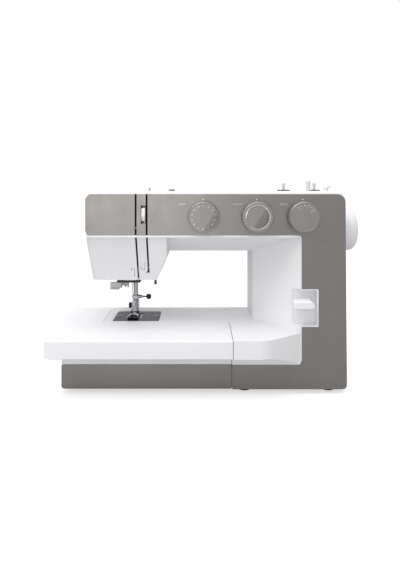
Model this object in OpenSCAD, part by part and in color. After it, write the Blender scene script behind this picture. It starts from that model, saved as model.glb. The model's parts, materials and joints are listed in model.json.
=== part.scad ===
// Domestic free-arm sewing machine, in millimetres.
// +X runs to the handwheel, -Y to the sewer and +Z up. The origin is on the table that the
// machine stands on, under the middle of its outline.

/* [Casing] */
// Left face of the head
head_left = -148; // [-150:0.5:-147]
// Right face of the casing, at its top
body_right = 174; // [173:0.5:175]
// How much further right the casing stands at its foot
foot_flare = 1.8; // [0:0.1:2]
// Back of the casing
body_back = 85; // [84:0.5:86]
// Front of the flat grey panel
panel_front = -55; // [-56:0.5:-54.5]
// Top edge of the panel, under the top cover
arm_top = 247.4; // [246.5:0.1:248.5]
// Lower edge of the panel's arm strip
panel_arm_low = 196.5; // [195:0.5:198]
// Wall of every moulded cover
wall = 2.5; // [2:0.1:2.8]

/* [Throat] */
// Underside of the arm, at the back
arm_low = 168.5; // [167:0.5:170]
// Bottom of the head
head_low = 135.2; // [134:0.2:137]
// Right side of the head
head_right = -48; // [-50:0.5:-47]
// Left side of the pillar, at the back
pillar_left = 66.6; // [65:0.2:68]
// Right edge of the opening in the panel
opening_right = 120; // [118:0.5:122]

/* [Bed and table] */
// Top of the sewing bed
bed_top = 75; // [74:0.5:76]
// Joint between the extension table and the fixed bed
table_split = 33.5; // [30:0.5:36]
// Front of the extension table
table_front = -85; // [-86:0.5:-84]
// Back of the extension table
table_back = 74; // [73:0.5:75]
// Left end of the free arm
arm_end = -136.2; // [-138:0.2:-135]
// Height of the rubber feet
foot_h = 6; // [5:0.5:6]

/* [Controls] */
// Radius of the three stitch dials
dial_r = 19.4; // [18:0.2:20]
// Depth of a stitch dial in front of the panel
dial_deep = 13.5; // [12:0.5:15]
// Radius of the handwheel
wheel_r = 28.4; // [27:0.2:29]
// Outer face of the handwheel
wheel_face = 202.5; // [200:0.5:204]

/* [Hidden] */
$fn = 64;

eps = 1;                            // overshoot of a cut past a face
fit = 0.1;                          // added to a bore's diameter for a running fit
gap = 0.4;                          // clearance between parts that move past each other

cover_front = panel_front + wall;   // front face of the covers behind the panel
split_y = 13;                       // joint between the front and rear covers
inner_left = head_left + wall;      // inside of the face cover
inner_right = body_right - wall;    // inside of the side cover
edge_r = 9;                         // rounding of the casing's rear edges
head_foot_y = -25;                  // front of the head at its bottom
head_foot_x = -62;                  // right side of the head at its bottom
lean_top = 193;                     // where the head's face starts to lean back
head_taper = 3;                     // how far the head's left side leans in at its bottom

shaft_y = 5;                        // arm shaft and handwheel
shaft_z = 198.9;
shaft_d = 10;
lower_z = 50;                       // lower shaft, straight under the arm shaft
motor_y = 19;
motor_z = 108;
belt_x = 153;                       // left edge of the motor belt
timing_x = 92;                      // left edge of the timing belt

needle_x = -96;
needle_y = 24.4;
bar_d = 6.4;                        // needle bar
clamp_z = 102.6;                    // needle clamp screw
presser_x = -98;
presser_y = 38;
presser_d = 6.4;                    // presser bar
pivot_z = 236;                      // zigzag pivot above the needle bar
slot_left = -85.6;                  // thread slots in the head
slot_right = -72;
slot_w = 2.2;
dial_z = 219.4;
dial_x = [-2, 64.2, 121];
tension_x = [-78.9, -73.6];
tension_y = -43;
tension_z = 222;
hook_z = 54;                        // shuttle axis, along Y under the needle
lift_x = -72;                       // presser lifter, which turns along X behind the needle
lift_y = 57;
lift_z = 158;
lever_y = -18;                      // reverse lever pivot, along X
lever_z = 111;
spool_x = [114, 158];
spool_y = 40;
winder_x = 140.2;
winder_y = 0;
stop_x = 164.5;
handle_y = 79.8;                    // carry handle pivot, along X
handle_z = 236;
handle_x = [-30, 120];
switch_x = 170;                     // power switch pivot, along Y
door_y = -1.75;                     // shuttle cover hinge, along X
door_z = 42;
door_pin = 1.6;
cap_top = arm_top + 3.4;            // top of the top cover
skirt_z = 36.6;                     // top of the grey strip
rim_z = 53.3;                       // underside of the table's overhang
web_y = 47;                         // front of the frame's web
web_t = 5;
take_y = -8;                        // take-up lever pivot, along X
take_z = 200;
feed_top = bed_top - 0.4;           // feed dog teeth at rest, just under the plate
vent_w = 2.4;                       // ventilation slots in the back
vent_step = 6;
rear_screws = [[-130, 230], [-128, 156], [150, 110], [150, 230], [88, 110]];
plate_screws = [-119, -67.5];       // needle plate screws, from left to right
plate_low = bed_top - 1.6;

white = [0.95, 0.95, 0.96];
warm_grey = [0.56, 0.54, 0.52];
steel = [0.72, 0.73, 0.75];
dark = [0.12, 0.12, 0.13];

function unit(v) = v / norm(v);

// Points of one rounded corner at b, between the edges to a and to c
function corner(a, b, c, r, n) =
    r <= 0 ? [b] :
    let (u = unit(a - b), v = unit(c - b), half = acos(u * v) / 2,
         m = b + unit(u + v) * r / sin(half),
         s = b + u * r / tan(half), e = b + v * r / tan(half),
         a0 = atan2(s.y - m.y, s.x - m.x), a1 = atan2(e.y - m.y, e.x - m.x),
         d = a1 - a0 > 180 ? a1 - a0 - 360 : a1 - a0 < -180 ? a1 - a0 + 360 : a1 - a0)
    [for (k = [0:n]) m + r * [cos(a0 + d * k / n), sin(a0 + d * k / n)]];

// Outline through [x, y, radius] corners
function outline(p, n = 8) = [
    for (i = [0:len(p) - 1])
        let (a = p[(i + len(p) - 1) % len(p)], b = p[i], c = p[(i + 1) % len(p)])
        each corner([a.x, a.y], [b.x, b.y], [c.x, c.y], b.z, n)
];

function rounded_box(x0, x1, y0, y1, r) = outline([[x0, y0, r], [x1, y0, r], [x1, y1, r], [x0, y1, r]]);

module box(a, b) translate(a) cube(b - a);

module along_x(x0, x1) translate([x0, 0, 0]) rotate([90, 0, 90]) linear_extrude(x1 - x0) children();

module along_y(y0, y1) translate([0, y1, 0]) rotate([90, 0, 0]) linear_extrude(y1 - y0) children();

module along_z(z0, z1) translate([0, 0, z0]) linear_extrude(z1 - z0) children();

module rod_x(x0, x1, y, z, d) translate([x0, y, z]) rotate([0, 90, 0]) cylinder(h = x1 - x0, d = d);

module rod_y(y0, y1, x, z, d) translate([x, y1, z]) rotate([90, 0, 0]) cylinder(h = y1 - y0, d = d);

module rod_z(z0, z1, x, y, d) translate([x, y, z0]) cylinder(h = z1 - z0, d = d);

// ---------------------------------------------------------------- casing

// Solid of the arm in front of the joint, drawn in by i; e runs it past its open sides
module arm_front(i, e)
    along_x(head_right - 4 * wall, inner_right + e)
        polygon([[cover_front + i, arm_top + e], [split_y + e, arm_top + e],
                 [split_y + e, arm_low + i], [cover_front + i, panel_arm_low - 1 + i]]);

module head_front(i, e)
    intersection() {
        along_x(inner_left - e, head_right)
            polygon([[cover_front + i, arm_top + e], [split_y + e, arm_top + e],
                     [split_y + e, head_low + i], [head_foot_y + i, head_low + i],
                     [cover_front + i, lean_top]]);
        along_y(cover_front - eps, split_y + 2 * eps)
            polygon([[inner_left - e, arm_top + e], [head_right - i, arm_top + e],
                     [head_right - i, arm_low], [head_foot_x - i, head_low + i],
                     [inner_left + head_taper - e, head_low + i], [inner_left - e, lean_top + 3]]);
    }

// The front half of the pillar seen from above
module pillar_plan(i, e)
    polygon([[opening_right + 1.3 * i, cover_front + i], [inner_right + e, cover_front + i],
             [inner_right + e, split_y + e], [pillar_left + 1.3 * i, split_y + e]]);

module pillar_front(i, e) along_z(bed_top - e, arm_top + e) pillar_plan(i, e);

module casing_front(i, e) {
    arm_front(i, e);
    head_front(i, e);
    pillar_front(i, e);
}

module casing_rear(i, e)
    intersection() {
        along_y(split_y - e, body_back - i)
            polygon([[inner_right + e, bed_top - e], [inner_right + e, arm_top + e],
                     [inner_left - e, arm_top + e], [inner_left - e, lean_top + 3],
                     [inner_left + head_taper - e, head_low + i],
                     [head_foot_x - i, head_low + i], [head_right - i, arm_low + i],
                     [pillar_left + i, arm_low + i], [pillar_left + i, bed_top - e]]);
        along_x(inner_left - 2 * eps, inner_right + 2 * eps)
            polygon(outline([[split_y - e, bed_top - e, 0], [body_back - i, bed_top - e, 0],
                             [body_back - i, arm_top - i, edge_r - i], [split_y - e, arm_top - i, 0]]));
    }

// Pocket at the rear top edge that the carry handle folds into
module handle_pocket(i)
    box([handle_x[0] - 2 - i, handle_y - 6.3 - i, handle_z - 40 - i],
        [handle_x[1] + 2 + i, body_back + eps, arm_top + eps]);

// Pocket for the reverse lever, drawn in by i
module lever_pocket(i, back)
    box([110 + i, panel_front - eps, 83 + i], [140.7 - i, back, 129.6 - i]);

module thread_slots(y0, y1)
    for (x = [slot_left, slot_right])
        box([x - slot_w / 2, y0, x == slot_left ? head_low + 3 : 145], [x + slot_w / 2, y1, arm_top + eps]);

module dial_bores(y0, y1)
    for (x = dial_x) rod_y(y0, y1, x, dial_z, 8 + fit);

module tension_window(y0, y1, half)
    box([tension_x[0] - gap, y0, tension_z - half], [tension_x[1] + gap, y1, tension_z + half]);

module front_panel() color(warm_grey)
    difference() {
        along_y(panel_front, cover_front)
            polygon(outline([
                [head_left, panel_arm_low, 6], [opening_right, panel_arm_low, 3.7],
                [opening_right, skirt_z, 3.7], [table_split + gap, skirt_z, 0],
                [table_split + gap, foot_h, 0], [body_right + foot_flare, foot_h, 5.5],
                [body_right, arm_top, 10.5], [head_left, arm_top, 8]]));
        lever_pocket(0, cover_front + eps);
        thread_slots(panel_front - eps, cover_front + eps);
        tension_window(panel_front - eps, cover_front + eps, 11);
        dial_bores(panel_front - eps, cover_front + eps);
    }

module front_cover() color(white)
    difference() {
        casing_front(0, 0);
        casing_front(wall, eps);
        lever_pocket(0, -30);
        thread_slots(cover_front - eps, 0);
        tension_window(cover_front - eps, cover_front + wall + eps, 13);
        dial_bores(cover_front - eps, cover_front + wall + eps);
        box([-133, -20, head_low - eps], [-78, split_y + eps, head_low + wall + eps]);
    }

module rear_cover() color(white)
    difference() {
        union() {
            rear_shell();
            for (p = rear_screws) rod_y(68, body_back - wall, p.x, p.y, 10);
        }
        for (p = rear_screws) {
            rod_y(60, body_back, p.x, p.y, 4);
            rod_y(body_back - wall, body_back + eps, p.x, p.y, 7.2);
        }
        for (i = [0:7], z = [124, 144])
            box([97 + vent_step * i, body_back - wall - eps, z],
                [97 + vent_step * i + vent_w, body_back + eps, z + 15]);
    }

module rear_shell()
    difference() {
        casing_rear(0, 0);
        difference() {
            union() {
                casing_rear(wall, eps);
                box([inner_left - eps, split_y - eps, arm_top - wall - eps],
                    [inner_right + eps, body_back - edge_r, arm_top + eps]);
            }
            handle_pocket(wall);
        }
        handle_pocket(0);
        for (x = [handle_x[0] - 2 - wall, handle_x[1] + 2])
            rod_x(x - eps, x + wall + eps, handle_y, handle_z, 4 + fit);
        box([-133, split_y - eps, head_low - eps], [-66, 76, head_low + wall + eps]);
        box([lift_x - 4.5, 70, head_low - eps], [lift_x + 4.5, body_back + eps, head_low + 12]);
    }

module top_cover() color(white)
    difference() {
        intersection() {
            along_y(cover_front, body_back - edge_r)
                polygon(outline([[-142, arm_top, 0], [171, arm_top, 0], [168, cap_top, 3],
                                 [-138, cap_top, 3]]));
            along_x(-150, 175)
                polygon(outline([[cover_front, arm_top, 0], [body_back - edge_r, arm_top, 0],
                                 [body_back - edge_r - 1, cap_top, 1.5], [cover_front + 1, cap_top, 2.5]]));
        }
        for (x = spool_x) rod_z(arm_top - eps, cap_top + eps, x, spool_y, 5.2 + fit);
        box([winder_x - 3.6, winder_y - 3.6, arm_top - eps],
            [winder_x + 10.6, winder_y + 3.6, cap_top + eps]);
        box([-31 - wall, handle_y - 6.3 - wall, arm_top - eps], [122 + wall, body_back, cap_top + eps]);
    }

module face_cover() color(white)
    intersection() {
        along_x(head_left, inner_left + head_taper)
            polygon(outline([[cover_front, arm_top, 5], [cover_front, lean_top, 20],
                             [head_foot_y, head_low, 5], [body_back, head_low, 5],
                             [body_back, arm_top, edge_r]]));
        along_y(cover_front - eps, body_back + eps)
            polygon([[head_left, arm_top], [inner_left, arm_top], [inner_left, lean_top + 3],
                     [inner_left + head_taper, head_low], [head_left + head_taper, head_low],
                     [head_left, lean_top + 3]]);
    }

module side_cover() color(white)
    difference() {
        intersection() {
            along_x(inner_right, body_right + foot_flare)
                polygon(outline([[cover_front, foot_h, 0], [body_back, foot_h, 3],
                                 [body_back, arm_top, edge_r], [cover_front, arm_top, 5]]));
            along_y(cover_front - eps, body_back + eps)
                polygon([[inner_right, foot_h], [body_right + foot_flare, foot_h],
                         [body_right, arm_top], [inner_right, arm_top]]);
        }
        rod_x(inner_right - eps, body_right + 2 * eps, shaft_y, shaft_z, 16);
        box([inner_right - eps, 22, 46], [body_right + 3 * eps, 38, 70]);
        box([inner_right - eps, 46, 40], [body_right + 3 * eps, 72, 70]);
    }

// ---------------------------------------------------------------- bed, base and table

// Outline of the fixed bed seen from above, with its front drawn back by i
module bed_plan(i)
    polygon(outline([[table_split, table_front + i, 0], [72, table_front + i, 30],
                     [opening_right, cover_front + i * 0.6, 0], [inner_right, cover_front + i * 0.6, 0],
                     [inner_right, body_back - i, 0], [pillar_left, body_back - i, 0],
                     [pillar_left, table_back - i, 0], [table_split, table_back - i, 0]]));

module bed_cover() color(white)
    difference() {
        union() {
            along_z(rim_z, bed_top) bed_plan(0);
            along_y(panel_front, table_back)
                polygon(outline([[table_split, skirt_z, 0], [opening_right, skirt_z, 4],
                                 [opening_right, rim_z, 0], [table_split, rim_z, 0]]));
            box([table_split, cover_front, foot_h + 3], [inner_right, table_back, rim_z]);
            box([pillar_left, 0, foot_h + 3], [inner_right, body_back, rim_z]);
        }
        along_z(rim_z + wall, bed_top - wall)
            intersection() {
                bed_plan(wall);
                translate([table_split - eps, -100]) square([inner_right - table_split + 2 * eps, 200]);
            }
        box([table_split + wall, cover_front + wall, foot_h],
            [inner_right + eps, table_back - wall, bed_top - wall]);
        box([pillar_left + wall, 0, foot_h], [inner_right + eps, body_back - wall, bed_top - wall]);
        along_z(bed_top - wall - eps, bed_top + eps) pillar_plan(wall, eps);
        box([pillar_left + wall, split_y - eps, bed_top - wall - eps],
            [inner_right + eps, body_back - wall, bed_top + eps]);
        box([table_split - eps, 0, 38.5], [table_split + wall + eps, 56.5, bed_top - wall]);
    }

module base_plate() color(warm_grey)
    union() {
        box([arm_end + 6, -40, foot_h], [table_split + wall, 64, foot_h + 3]);
        box([table_split, cover_front + wall, foot_h], [inner_right, table_back - wall, foot_h + 3]);
        box([pillar_left + wall, table_back - wall, foot_h], [inner_right, body_back - wall, foot_h + 3]);
        for (y = [-38, 58]) box([arm_end + 10, y, foot_h + 3], [table_split - 4, y + 3, foot_h + 12]);
    }

module rubber_feet() color(dark)
    for (p = [[-118, -28], [-118, 52], [50, -36], [156, -36], [156, 68], [50, 60]])
        rod_z(0, foot_h, p.x, p.y, 18);

module free_arm_cover() color(white)
    difference() {
        along_x(arm_end, table_split)
            polygon(outline([[-3, 36, 4], [59, 36, 4], [59, bed_top, 1.5], [-3, bed_top, 1.5]]));
        box([arm_end + wall, -0.5, 38.5], [table_split + eps, 56.5, bed_top - wall]);
        box([-124.3 - 0.2, -0.6 - 0.2, bed_top - wall - eps], [-62 + 0.2, 49.8 + 0.2, bed_top + eps]);
        box([-124.6, -3 - eps, 40.4], [-63.6, -0.5 + eps, 69.6]);
        rod_x(-126.5, -62, door_y, door_z, door_pin + fit);
    }

module needle_plate() color([0.33, 0.32, 0.36])
    difference() {
        along_z(plate_low, bed_top)
            polygon(outline([[-124.3, -0.6, 2], [-62, -0.6, 2], [-62, 49.8, 10], [-124.3, 49.8, 10]]));
        box([needle_x - 4.8, needle_y - 1.3, plate_low - eps],
            [needle_x + 4.8, needle_y + 1.3, bed_top + eps]);
        for (x = [-107.5, -88.5])
            box([x - 1.8, needle_y - 14, plate_low - eps], [x + 1.8, needle_y + 14, bed_top + eps]);
        box([-99.8, needle_y + 4, plate_low - eps], [-96.2, needle_y + 14, bed_top + eps]);
        for (x = plate_screws) rod_z(plate_low - eps, bed_top + eps, x, 24, 3.4);
    }

module case_screws() color(steel) {
    for (x = plate_screws)
        difference() {
            union() {
                rod_z(62, bed_top, x, 24, 3.4);
                rod_z(bed_top, bed_top + 0.6, x, 24, 6.5);
            }
            box([x - 3, 23.6, bed_top + 0.2], [x + 3, 24.4, bed_top + eps]);
        }
    for (p = rear_screws) {
        rod_y(62, body_back - wall, p.x, p.y, 4);
        rod_y(body_back - wall, body_back - 0.4, p.x, p.y, 7);
    }
}

// Table top seen from above, drawn in by i
module table_plan(i)
    polygon(outline([[table_split - gap, table_front + i, 0], [table_split - gap, table_back - i, 0],
                     [-203.43 + i, table_back - i, 12 - i], [-191 + i, table_front + i, 10 - i]]));

module extension_table() color(white)
    difference() {
        union() {
            along_z(rim_z, bed_top) table_plan(0);
            box([-177.5, panel_front, skirt_z], [table_split - gap, table_back - 6, rim_z]);
            box([-177.5, cover_front, foot_h + 0.6], [table_split - gap, table_back - 6, skirt_z]);
        }
        along_z(rim_z + wall, bed_top - wall) intersection() {
            table_plan(wall);
            translate([-210, -100]) square([210 + table_split + eps, 200]);
        }
        box([-177.5 + wall, cover_front + wall, foot_h - eps],
            [table_split + eps, table_back - 6 - wall, bed_top - wall]);
        box([table_split - 3, table_front + wall, rim_z + wall],
            [table_split + eps, table_back - wall, bed_top - wall]);
        box([arm_end - gap, -3 - gap, bed_top - wall - eps], [table_split + eps, 59 + gap, bed_top + eps]);
    }

module table_facing() color(warm_grey)
    along_y(panel_front, cover_front)
        polygon(outline([[-177.5, foot_h + 0.6, 4], [table_split - gap, foot_h + 0.6, 0],
                         [table_split - gap, skirt_z, 0], [-177.5, skirt_z, 2]]));

// ---------------------------------------------------------------- frame and fixed works

arm_ribs = [-50, 60, 140];          // left faces of the ribs that carry the arm shaft
low_ribs = [-60, 20, 110];          // left faces of the ribs that carry the lower shaft
rib_t = 6;

module arm_frame() color(steel)
    difference() {
        union() {
            along_y(web_y, web_y + web_t)
                polygon(outline([
                    [-136, 238, 4], [-136, 152, 4], [-66, 152, 4], [-58, 182, 4], [78, 182, 8],
                    [78, 63, 8], [-106, 63, 4], [-106, 43, 4], [78, 43, 0], [78, foot_h + 3, 0],
                    [156, foot_h + 3, 0], [156, 238, 4]]));
            for (x = arm_ribs) box([x, -8, shaft_z - 13], [x + rib_t, web_y, shaft_z + 13]);
            for (x = low_ribs) box([x, 0, 43], [x + rib_t, web_y, 60]);
            for (z = [162, 214]) box([presser_x - 7, 33.9, z], [presser_x + 7, web_y, z + 7]);
            box([-122, 26, 176], [-114, web_y, 183]);
            rod_y(29, web_y, needle_x, pivot_z, 6);
            box([lift_x - 8, web_y + web_t, lift_z - 7], [lift_x - 3, lift_y + 4, lift_z + 6]);
            rod_x(lift_x - 3, lift_x + 4, lift_y, lift_z, 4);
        }
        for (x = arm_ribs) rod_x(x - eps, x + rib_t + eps, shaft_y, shaft_z, 15);
        for (x = low_ribs) rod_x(x - eps, x + rib_t + eps, shaft_y, lower_z, 9);
        for (z = [162, 214]) rod_z(z - eps, z + 7 + eps, presser_x, presser_y, presser_d + fit);
        rod_z(175, 184, -118, 30, 3.4 + fit);
        rod_y(web_y - eps, web_y + web_t + eps, needle_x, hook_z, 6 + fit);
    }

module shaft_bushes() color([0.72, 0.55, 0.3])
    for (x = arm_ribs)
        difference() {
            rod_x(x - 1, x + rib_t + 1, shaft_y, shaft_z, 15);
            rod_x(x - 1 - eps, x + rib_t + 1 + eps, shaft_y, shaft_z, shaft_d + fit);
        }

module stitch_cam_unit() color([0.85, 0.84, 0.8]) {
    for (x = [10, 46]) box([x, -38, 202], [x + 3, -10, 240]);
    for (i = [0:10]) rod_x(13 + 3 * i, 16 + 3 * i, -24, 222, i % 2 == 0 ? 22 : 16 + i / 2);
}

module tension_unit() color(steel)
    union() {
        box([-84.2, -16, 194], [-82.4, web_y, 228]);
        box([-84.2, -48, 217], [-82.4, -15, 227]);
        rod_x(-84.2, tension_x[1], tension_y, tension_z, 5);
        for (x = [-82.4, -81.1, -79.9]) rod_x(x, x + 0.7, tension_y, tension_z, 13);
        rod_x(-89, -84.2, take_y, take_z, 4);
    }

module top_thread_guide() color(steel)
    difference() {
        along_x(-72.2, -70.6)
            polygon(outline([[-31, cap_top, 0], [-19, cap_top, 0], [-20, cap_top + 4.6, 2],
                             [-30, cap_top + 4.6, 2]]));
        rod_x(-73, -70, -25, cap_top + 2.4, 2.4);
    }

module winder_tension_disc() color(steel)
    union() {
        rod_z(cap_top, cap_top + 0.9, -44, -5, 9.4);
        rod_z(cap_top, cap_top + 3, -44, -5, 3);
        rod_z(cap_top + 1.3, cap_top + 2, -44, -5, 9);
        rod_z(cap_top + 2.2, cap_top + 2.9, -44, -5, 7);
    }

module spool_felts() color(dark)
    for (i = [0, 1])
        difference() {
            rod_z(cap_top, cap_top + 1.6, spool_x[i], spool_y, i == 0 ? 18 : 16);
            rod_z(cap_top - eps, cap_top + 2, spool_x[i], spool_y, 6.2);
        }

module winder_stop() color(white)
    union() {
        rod_z(cap_top, cap_top + 3, stop_x, winder_y, 6);
        rod_z(cap_top + 2.6, 258.2, stop_x, winder_y, 12);
    }

module lever_housing() color(white)
    difference() {
        union() {
            intersection() {
                lever_pocket(0, -30);
                union() {
                    pillar_front(0, 0);
                    box([opening_right, panel_front, 80], [145, cover_front + eps, 135]);
                }
            }
            for (x = [113, 134]) box([x, -31, 104], [x + 3, lever_y + 5, 118]);
        }
        lever_pocket(1.4, -31.5);
        box([118, -33, 97], [132, -29, 117]);
        rod_x(112, 138, lever_y, lever_z, 4 + fit);
    }

module power_inlet() color(dark)
    difference() {
        box([158, 46.3 + web_t + 1, 40.3], [body_right + 1, 71.7, 69.7]);
        box([162, 55, 44], [body_right + 2 * eps, 69, 66]);
    }

module sewing_lamp() color([0.9, 0.9, 0.86])
    box([inner_left + head_taper, 0, 141], [-127, 14, 149]);

module motor() color(dark)
    difference() {
        union() {
            rod_x(104, 148, motor_y, motor_z, 50);
            box([108, motor_y, motor_z - 20], [144, web_y, motor_z + 20]);
        }
        rod_x(140, 149, motor_y, motor_z, 6 + fit);
    }

// Loop over two pulleys of radius a and b, seen along X, for the pair of centres
module belt_loop(ya, za, a, yb, zb, b)
    hull() {
        translate([ya, za]) circle(r = a, $fn = 32);
        translate([yb, zb]) circle(r = b, $fn = 32);
    }

module belt(x, w, ya, za, a, yb, zb, b, t)
    difference() {
        along_x(x, x + w) belt_loop(ya, za, a + t + gap, yb, zb, b + t + gap);
        along_x(x - eps, x + w + eps) belt_loop(ya, za, a + gap, yb, zb, b + gap);
    }

big_pulley = 20;
small_pulley = 6;
timing_pulley = 9;

module motor_belt() color(dark)
    belt(belt_x, 7, shaft_y, shaft_z, big_pulley, motor_y, motor_z, small_pulley, 2);

module timing_belt() color(dark)
    belt(timing_x, 8, shaft_y, shaft_z, timing_pulley, shaft_y, lower_z, timing_pulley, 1.6);

module shuttle_race() color(steel)
    difference() {
        rod_y(4, 21.5, needle_x, hook_z, 30.4);
        rod_y(4 - eps, 21.5 + eps, needle_x, hook_z, 26.8);
        box([needle_x - 6, 3, hook_z + 12], [needle_x + 6, 22, hook_z + 16]);
    }

module bobbin_case() color(steel)
    difference() {
        union() {
            difference() {
                rod_y(2, 15, needle_x, hook_z, 21.8);
                rod_y(3.2, 15 + eps, needle_x, hook_z, 20.6);
            }
            rod_y(2, 14, needle_x, hook_z, 5.8);
        }
        rod_y(1, 15, needle_x, hook_z, 3);
    }

// ---------------------------------------------------------------- drive

module handwheel() color(white)
    difference() {
        translate([body_right + 1, shaft_y, shaft_z]) rotate([90, 0, 90])
            rotate_extrude()
                polygon(outline([[0, 0, 0], [24, 0, 2], [wheel_r, 5, 3],
                                 [wheel_r, wheel_face - body_right - 1, 8],
                                 [0, wheel_face - body_right - 1, 0]], 8));
        rod_x(body_right, 192, shaft_y, shaft_z, shaft_d);
        rod_x(wheel_face - 3, wheel_face + eps, shaft_y, shaft_z, 30);
    }

module arm_shaft() color(steel)
    union() {
        rod_x(-68, 192, shaft_y, shaft_z, shaft_d);
        rod_x(-72, -66, shaft_y, shaft_z, 28);
        rod_x(-78, -72, shaft_y + 9, shaft_z, 5);
        rod_x(timing_x + 0.5, timing_x + 7.5, shaft_y, shaft_z, 2 * timing_pulley);
        rod_x(belt_x + 0.5, belt_x + 6.5, shaft_y, shaft_z, 2 * big_pulley);
    }

module motor_pulley() color(steel)
    union() {
        rod_x(140.5, belt_x + 7, motor_y, motor_z, 6);
        rod_x(belt_x + 0.5, belt_x + 6.5, motor_y, motor_z, 2 * small_pulley);
    }

module lower_shaft() color(steel)
    union() {
        rod_x(-66, 124, shaft_y, lower_z, 9 - fit);
        rod_x(timing_x + 0.5, timing_x + 7.5, shaft_y, lower_z, 2 * timing_pulley);
        rod_x(-70, -66, shaft_y, lower_z, 10);
    }

// ---------------------------------------------------------------- controls

// Round knob on a shaft behind the panel
module dial(x)
    union() {
        rod_y(panel_front - 10, panel_front - 0.3, x, dial_z, 2 * dial_r);
        rod_y(panel_front - dial_deep, panel_front - 10, x, dial_z, 2 * dial_r - 2.4);
        rod_y(panel_front - 0.3, -38, x, dial_z, 8);
    }

module pattern_dial() color(warm_grey) dial(dial_x[0]);

module length_dial() color(warm_grey) dial(dial_x[1]);

module width_dial() color(warm_grey) dial(dial_x[2]);

module reverse_lever() color(white)
    union() {
        along_x(107.8, 133.6)
            polygon(outline([[-68, 107.4, 2], [-50, 106, 3], [-50, 117, 4], [-68, 118, 4]]));
        box([120, -51, 108], [130, lever_y - 1, 114]);
        rod_x(116.4, 133.6, lever_y, lever_z, 9);
        rod_x(113, 137, lever_y, lever_z, 4);
    }

module tension_dial() color(white)
    difference() {
        rod_x(tension_x[0], tension_x[1], tension_y, tension_z, 26.6);
        rod_x(tension_x[0] - eps, tension_x[1] + eps, tension_y, tension_z, 5 + fit);
    }

module take_up_lever() color(steel)
    difference() {
        union() {
            rod_x(-88, -84.4, take_y, take_z, 9);
            along_x(-86.2, -85)
                polygon(outline([[take_y, take_z - 3, 0], [take_y, take_z + 3, 0], [-46, 207, 2],
                                 [-52.6, 207, 2], [-52.6, 203, 2], [-46, 202, 2]]));
        }
        rod_x(-90, -84, take_y, take_z, 4 + fit);
        rod_x(-90, -84, -50, 205, 2);
    }

// ---------------------------------------------------------------- needle and presser

module needle_bar_frame() color(steel)
    difference() {
        union() {
            rod_y(29.4, 33, needle_x, pivot_z, 15);
            box([needle_x - 3.5, 29.4, 150], [needle_x + 3.5, 33, pivot_z - 4]);
            for (z = [150, 204]) box([needle_x - 6, 18, z], [needle_x + 6, 33, z + 8]);
        }
        rod_y(28, 34, needle_x, pivot_z, 6 + fit);
        for (z = [150, 204]) rod_z(z - eps, z + 8 + eps, needle_x, needle_y, bar_d + fit);
    }

module needle_bar() color(steel) rod_z(clamp_z + 2.4, 224, needle_x, needle_y, bar_d);

module needle_clamp() color(steel)
    difference() {
        box([-101, 20.2, clamp_z - 3], [-91.4, 28.6, clamp_z + 2.4]);
        rod_x(-96, -91, needle_y, clamp_z, 3);
        rod_z(clamp_z - 4, clamp_z + 3, needle_x, needle_y, 2);
    }

module clamp_screw() color(dark)
    union() {
        rod_x(-94.9, -82, needle_y, clamp_z, 3);
        rod_x(-82, -74.6, needle_y, clamp_z, 7.4);
    }

module needle() color(steel)
    union() {
        rod_z(92, clamp_z + 2.4, needle_x, needle_y, 2);
        rod_z(80, 92, needle_x, needle_y, 1);
        translate([needle_x, needle_y, 76.5]) cylinder(h = 3.5, d1 = 0.3, d2 = 1);
    }

module presser_lifter() color(dark)
    difference() {
        union() {
            rod_x(lift_x - 2.6, lift_x + 2.6, lift_y, lift_z, 9);
            along_x(lift_x - 1.5, lift_x + 1.5)
                polygon(outline([[lift_y - 3, lift_z, 0], [lift_y + 3, lift_z, 0], [64, 126, 6],
                                 [66, 112, 2], [58, 112, 2], [58, 128, 6]]));
        }
        rod_x(lift_x - 4, lift_x + 4.5, lift_y, lift_z, 4 + fit);
    }

module presser_bar() color(steel) rod_z(84, 226, presser_x, presser_y, presser_d);

module foot_holder() color(steel)
    difference() {
        union() {
            box([presser_x - 4.4, 32.4, 80], [presser_x + 4.4, 43.6, 95]);
            box([-101, 26, 77.8], [-95, 34, 81.6]);
            rod_x(presser_x - 6, presser_x - 4.4, presser_y, 87, 4);
            rod_x(presser_x - 10, presser_x - 6, presser_y, 87, 8.4);
        }
        rod_z(84, 97, presser_x, presser_y, presser_d);
        rod_x(-102, -94, 28, 79.6, 2);
    }

sole_low = bed_top + 0.1;

module presser_foot() color([0.25, 0.25, 0.27])
    difference() {
        union() {
            along_z(sole_low, sole_low + 1.7)
                polygon(rounded_box(-105, -91, 8, 36, 2));
            along_x(-105, -91)
                polygon(outline([[8.5, sole_low, 0], [8.5, sole_low + 1.7, 3],
                                 [4, sole_low + 4.6, 0.5], [3, sole_low + 3.2, 0.5]]));
            for (x = [-103.6, -94.4]) box([x, 26, sole_low + 1.6], [x + 2, 31, sole_low + 6.4]);
            rod_x(-102, -94, 28, 79.6, 2);
        }
        box([needle_x - 4.6, needle_y - 1.6, sole_low - eps], [needle_x + 4.6, needle_y + 1.6, sole_low + 2]);
        box([-98.8, 0, sole_low - eps], [-97.2, 15, sole_low + 6]);
    }

module needle_threader() color([0.86, 0.86, 0.84])
    union() {
        rod_z(114, 206, -118, 30, 3.4);
        box([-132, 21, 113], [-117, 29, 116.5]);
        box([-121, 21, 113], [-109, 32, 121]);
    }

// ---------------------------------------------------------------- top of the arm

module spool_pin(i) color([0.78, 0.78, 0.76])
    union() {
        rod_z(202, 262.4, spool_x[i], spool_y, 5.2);
        rod_z(198, 202, spool_x[i], spool_y, 8);
    }

module spool_pin_left() spool_pin(0);

module spool_pin_right() spool_pin(1);

module winder_arm() color(dark)
    difference() {
        box([130, -9, 236], [150, 9, 242]);
        rod_z(235, 243, winder_x, winder_y, 6 + fit);
    }

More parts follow.
